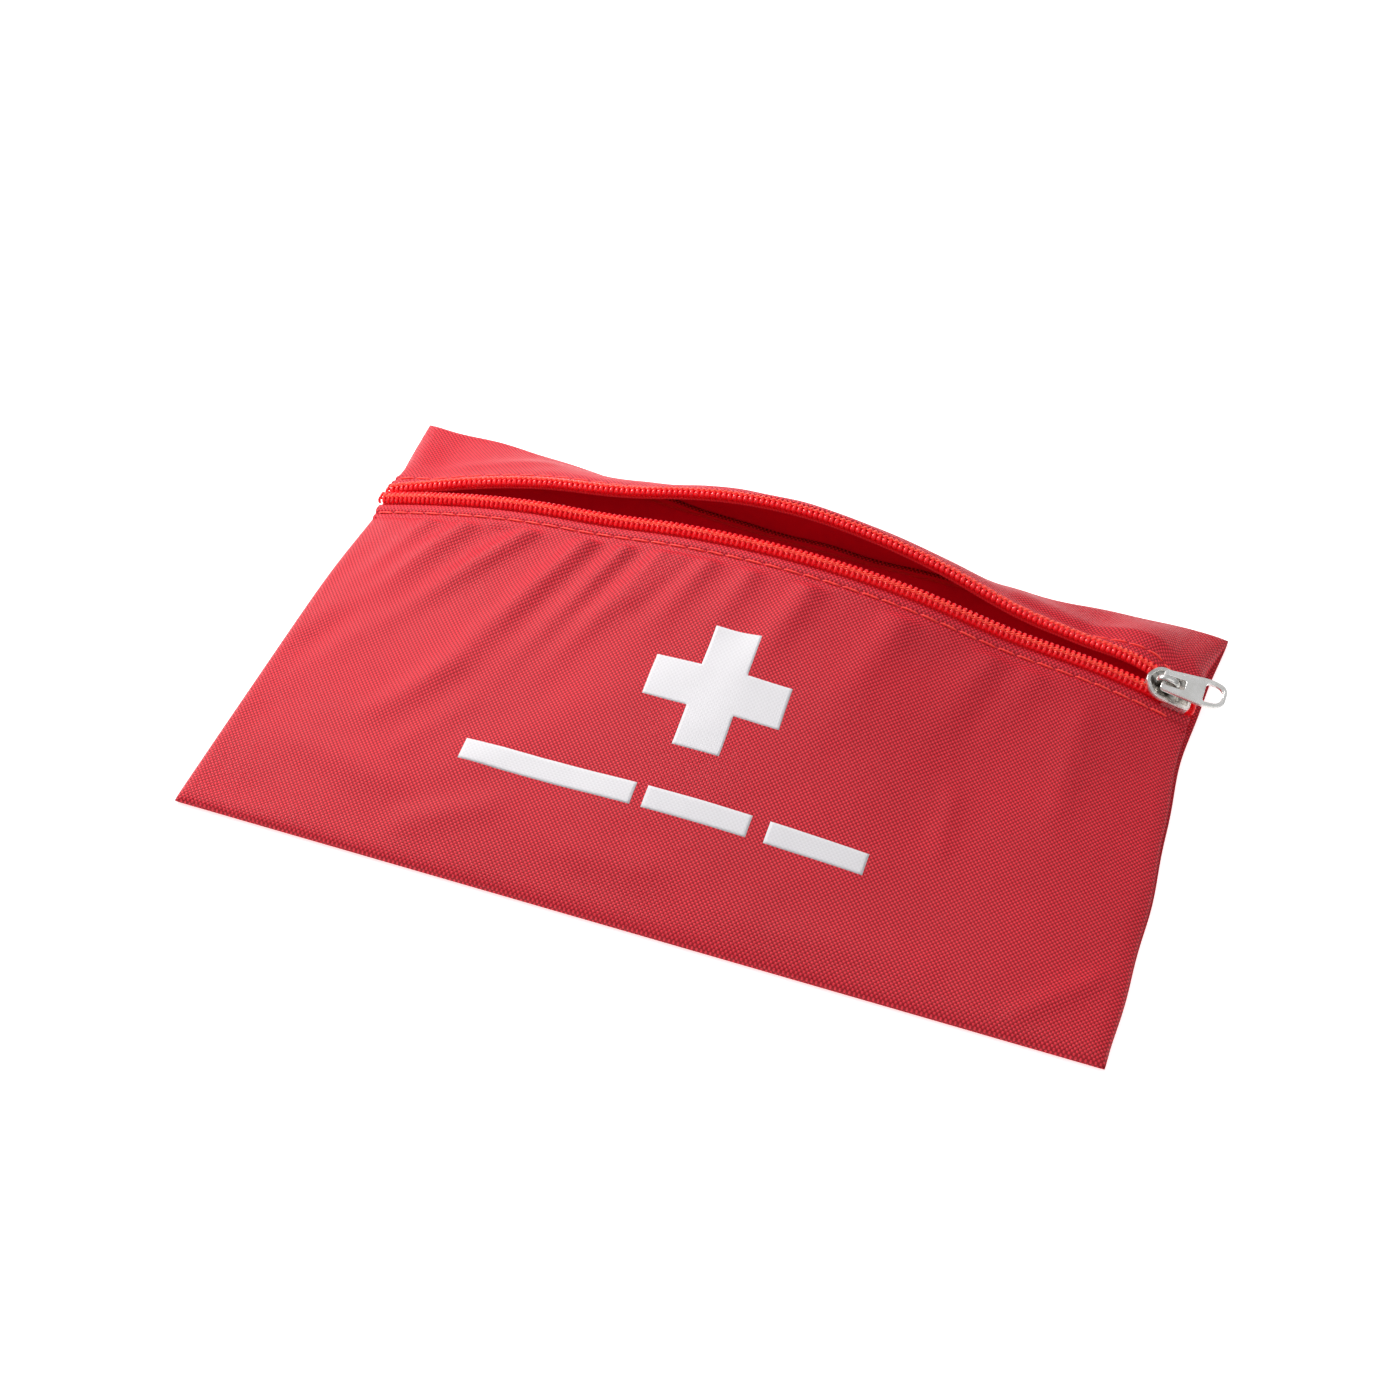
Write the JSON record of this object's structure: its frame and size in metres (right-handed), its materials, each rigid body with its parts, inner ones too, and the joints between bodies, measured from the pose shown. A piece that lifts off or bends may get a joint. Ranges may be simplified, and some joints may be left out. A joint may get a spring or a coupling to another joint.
{
  "type": "zip pouch first aid kit",
  "caption": "Flat oxford cloth zip pouch for first aid supplies, with an arched open mouth, a coil zip, a metal slider with a pull tab, and a printed cross.",
  "frame": {"origin": "on the underside of the back panel, midway between the side seams and midway between the bottom and top edges", "axes": "+X along the zip, from the end without the slider to the end where the slider rests; +Y towards the edge nearest the zip; +Z out of the front panel"},
  "size_m": [0.2454, 0.1528, 0.0275],
  "materials": {
    "cloth_red": "plain woven oxford, slight sheen",
    "tape_red": "woven tape",
    "coil_red": "glossy monofilament",
    "thread_red": "polyester sewing thread",
    "slider_nickel": "nickel plated, polished",
    "ink_white": "flat screen-print ink"
  },
  "bodies": {
    "pouch": {"back_panel": "cloth_red", "front_panel": "cloth_red", "top_strip": "cloth_red", "zipper_tape_lower": "tape_red", "zipper_coil_lower": "coil_red", "coil_core_cord_lower": "tape_red", "coil_sewing_thread_lower": "thread_red", "topstitch_lower": "thread_red", "seam_thread_left": "thread_red", "seam_thread_right": "thread_red", "seam_thread_bottom": "thread_red", "seam_thread_top": "thread_red", "print_cross": "ink_white", "print_bar_left": "ink_white", "print_bar_middle": "ink_white", "print_bar_right": "ink_white"},
    "slider": {"slider_body": "slider_nickel", "slider_bridge": "slider_nickel"},
    "pull": {"pull_tab": "slider_nickel"},
    "upper_lip": {"zipper_tape_upper": "tape_red", "zipper_coil_upper": "coil_red", "coil_core_cord_upper": "tape_red", "coil_sewing_thread_upper": "thread_red", "topstitch_upper": "thread_red"}
  },
  "joints": [
    {"name": "slider_travel", "type": "hinge", "parent": "pouch", "child": "slider", "pos_m": [-0.001, 0.08698, -0.28124], "axis": [0, -0.9877, -0.1564], "range_deg": [0, 40.8]},
    {"name": "pull_swing", "type": "hinge", "parent": "slider", "child": "pull", "pos_m": [0.10681, 0.04056, 0.01183], "axis": [0, -0.9877, -0.1564], "range_deg": [-20, 150]},
    {"name": "lip_close", "type": "hinge", "parent": "pouch", "child": "upper_lip", "pos_m": [-0.001, 0.0418, 0.004], "axis": [1, 0, 0], "range_deg": [0, 33], "deforming": ["top_strip", "zipper_tape_upper", "zipper_coil_upper", "coil_core_cord_upper", "coil_sewing_thread_upper", "topstitch_upper"]}
  ],
  "couplings": [
    {"joint": "lip_close", "follows": "slider_travel", "ratio": 0.809}
  ]
}
